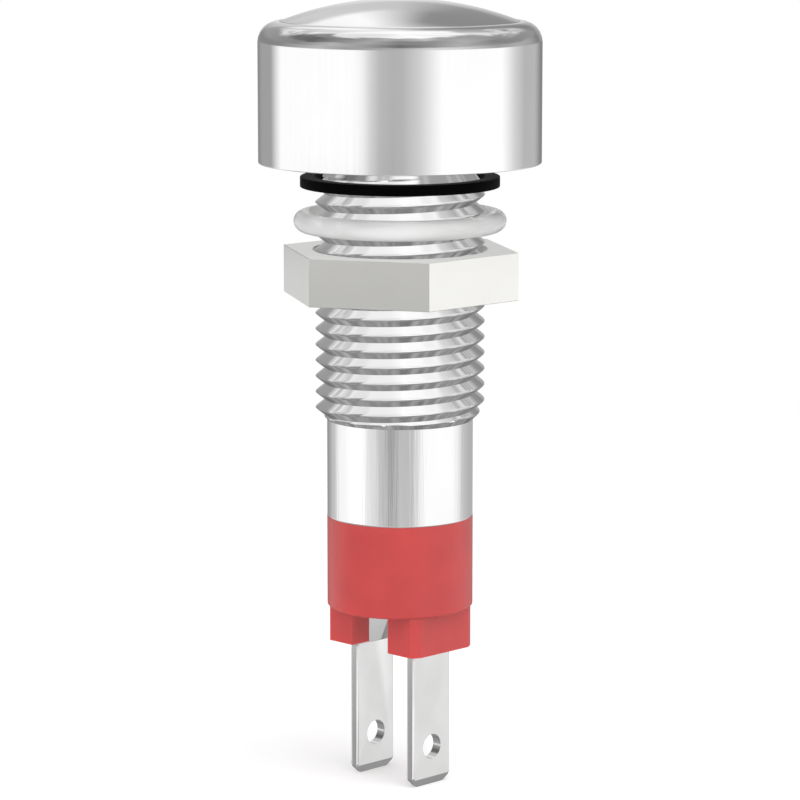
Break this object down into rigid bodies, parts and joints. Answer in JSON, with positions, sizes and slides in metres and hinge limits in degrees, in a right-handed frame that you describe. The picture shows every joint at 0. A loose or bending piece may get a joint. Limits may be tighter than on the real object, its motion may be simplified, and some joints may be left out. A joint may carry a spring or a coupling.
{
  "type": "panel pilot light",
  "caption": "Small round panel pilot light: domed lens in a chrome head, threaded shank with gasket, ring and hexagonal nut, red base, two flat blade terminals.",
  "frame": {"origin": "on the light's axis, in the plane of the head's underside, which seats on the panel", "axes": "+Z out of the panel through the lens, +X from the negative to the positive terminal, +Y along the blades' width"},
  "size_m": [0.0132, 0.0132, 0.0374],
  "materials": {
    "chrome": "polished",
    "mirror_lens": "polished",
    "black_rubber": "matte",
    "bright_reflector": "polished",
    "lamp_epoxy": "gloss",
    "tinned_wire": "satin",
    "black_plastic": "matte",
    "white_plastic": "matte",
    "board_laminate": "matte",
    "resistor_coating": "gloss",
    "diode_moulding": "matte",
    "solder": "satin",
    "clear_sleeve": "matte",
    "red_plastic": "satin",
    "plated_terminal": "satin",
    "clear_silicone": "satin",
    "satin_nickel": "satin"
  },
  "bodies": {
    "housing": {"housing": "chrome", "domed_lens": "mirror_lens", "lens_seal": "black_rubber", "reflector": "bright_reflector", "led_body": "lamp_epoxy", "led_anode_lead": "tinned_wire", "led_cathode_lead": "tinned_wire", "led_collar": "black_plastic", "led_spacer": "white_plastic", "circuit_board": "board_laminate", "series_resistor": "resistor_coating", "resistor_leads": "tinned_wire", "protection_diode": "diode_moulding", "diode_leads": "tinned_wire", "solder_joints": "solder", "insulating_sleeve": "clear_sleeve", "terminal_base": "red_plastic", "terminal_positive": "plated_terminal", "terminal_negative": "plated_terminal", "panel_gasket": "black_rubber"},
    "ring": {"sealing_o_ring": "clear_silicone"},
    "nut": {"hex_nut": "satin_nickel"}
  },
  "joints": [
    {"name": "nut_travel", "type": "slide", "parent": "housing", "child": "ring", "axis": [0, 0, 1], "range_m": [-0.00525, 0.00094]},
    {"name": "nut_turn", "type": "hinge", "parent": "ring", "child": "nut", "pos_m": [0, 0, -0.00521], "axis": [0, 0, 1], "range_deg": [-2521, 451]}
  ],
  "couplings": [
    {"joint": "nut_turn", "follows": "nut_travel", "rad_per_m": 8377.6}
  ]
}
